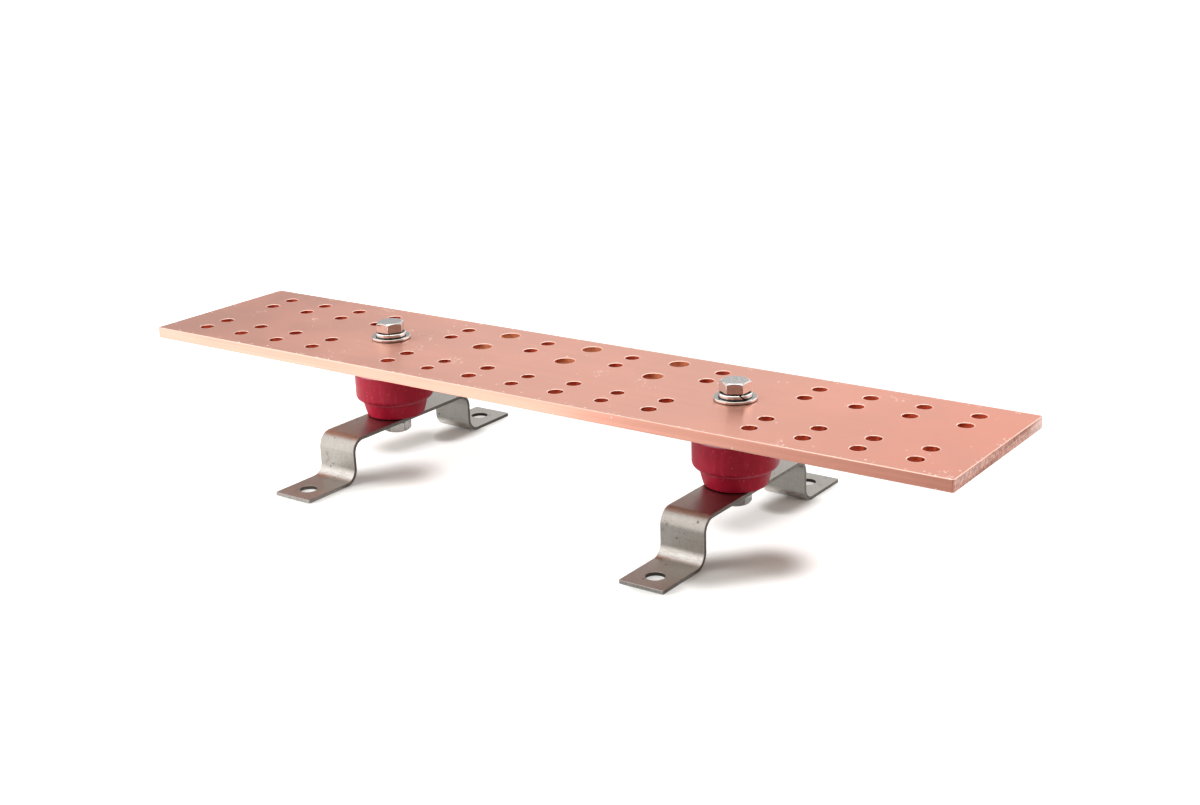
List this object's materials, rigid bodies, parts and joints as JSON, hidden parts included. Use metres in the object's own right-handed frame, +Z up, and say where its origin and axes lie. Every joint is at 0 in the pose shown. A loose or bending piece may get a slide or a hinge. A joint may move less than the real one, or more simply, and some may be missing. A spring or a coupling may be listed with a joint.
{
  "type": "rack grounding busbar",
  "caption": "Flat drilled copper grounding bar on two red standoff insulators, each bolted to a hat-shaped stainless bracket with a screw hole in each foot.",
  "frame": {"origin": "on the mounting surface, below the middle of the bar, midway between the two brackets", "axes": "+X along the bar, +Y towards the edge with the large holes, +Z up from the mounting surface through the bar"},
  "size_m": [0.508, 0.1746, 0.0799],
  "materials": {
    "copper": "bare copper, satin, with grain along the bar",
    "insulator": "moulded glass polyester, satin",
    "insert": "turned brass",
    "bolt": "bright stainless steel",
    "lock_washer": "bright stainless steel",
    "flat_washer": "bright stainless steel",
    "bracket": "rolled stainless strip"
  },
  "bodies": {
    "root": {"busbar": "copper", "insulator_left": "insulator", "insulator_right": "insulator", "insert_top_left": "insert", "insert_top_right": "insert", "insert_bottom_left": "insert", "insert_bottom_right": "insert", "bar_bolt_left": "bolt", "bar_bolt_right": "bolt", "bar_lock_washer_left": "lock_washer", "bar_lock_washer_right": "lock_washer", "bar_flat_washer_left": "flat_washer", "bar_flat_washer_right": "flat_washer", "bracket_bolt_left": "bolt", "bracket_bolt_right": "bolt", "bracket_lock_washer_left": "lock_washer", "bracket_lock_washer_right": "lock_washer", "bracket_left": "bracket", "bracket_right": "bracket"}
  },
  "joints": []
}
